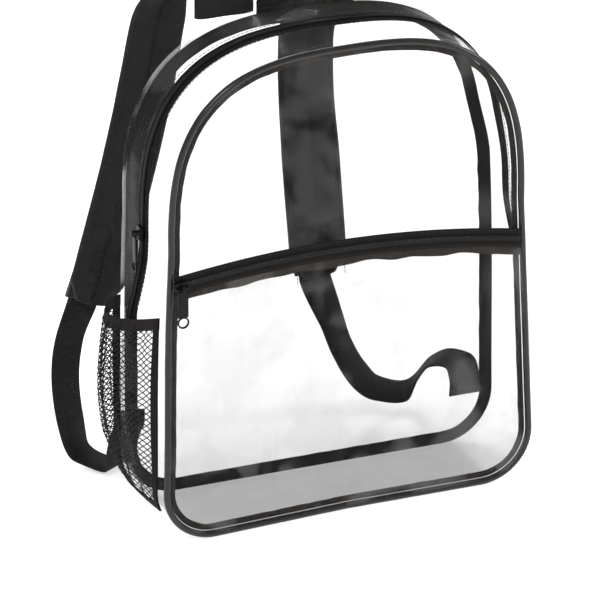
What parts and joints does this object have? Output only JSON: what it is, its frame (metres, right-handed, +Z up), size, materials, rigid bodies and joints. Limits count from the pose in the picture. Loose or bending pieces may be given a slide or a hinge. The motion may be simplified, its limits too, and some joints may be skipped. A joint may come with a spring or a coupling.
{
  "type": "clear stadium backpack",
  "caption": "Clear vinyl backpack with arched top, black trim, zipped front pocket, net side pocket, padded shoulder straps and webbing handle.",
  "frame": {"origin": "centre of the base sheet's outer face, on the surface that the bag stands on", "axes": "+Z up to the arch, -Y out of the front panel, +Y towards the wearer's back, +X to the right as seen from the front"},
  "size_m": [0.3587, 0.1785, 0.4225],
  "materials": {
    "clear_vinyl": "clear, glossy, faintly wrinkled",
    "black_vinyl": "glossy",
    "black_tape": "woven tape",
    "black_coil": "satin",
    "black_metal": "gloss black",
    "black_net": "open net",
    "black_nylon": "ribbed webbing and plain weave",
    "black_plastic": "moulded"
  },
  "bodies": {
    "bag": {"front_panel": "clear_vinyl", "back_panel": "clear_vinyl", "front_gusset": "clear_vinyl", "rear_gusset": "clear_vinyl", "base_gusset": "clear_vinyl", "front_piping": "black_vinyl", "back_piping": "clear_vinyl", "front_binding": "black_tape", "back_binding": "black_tape", "main_zip_tape": "black_tape", "main_zip_coil": "black_coil", "main_zip_slider": "black_metal", "pocket_panel": "clear_vinyl", "pocket_zip_tape": "black_tape", "pocket_zip_coil": "black_coil", "pocket_zip_slider": "black_metal", "net_pocket": "black_net", "net_pocket_elastic": "black_nylon", "net_pocket_binding": "black_tape", "handle": "black_nylon", "left_strap": "black_nylon", "left_strap_tab": "black_nylon", "left_ladder_lock": "black_plastic", "left_webbing": "black_nylon", "right_strap": "black_nylon", "right_strap_tab": "black_nylon", "right_ladder_lock": "black_plastic", "right_webbing": "black_nylon"},
    "main_pull": {"main_zip_pull": "black_metal"},
    "pocket_pull": {"pocket_zip_pull": "black_metal"}
  },
  "joints": [
    {"name": "main_pull_swing", "type": "hinge", "parent": "bag", "child": "main_pull", "pos_m": [-0.15433, 0.003, 0.23625], "axis": [0, 1, 0], "range_deg": [0, 150]},
    {"name": "pocket_pull_swing", "type": "hinge", "parent": "bag", "child": "pocket_pull", "pos_m": [-0.13642, -0.05179, 0.21027], "axis": [-1, 0, 0], "range_deg": [0, 150]}
  ]
}
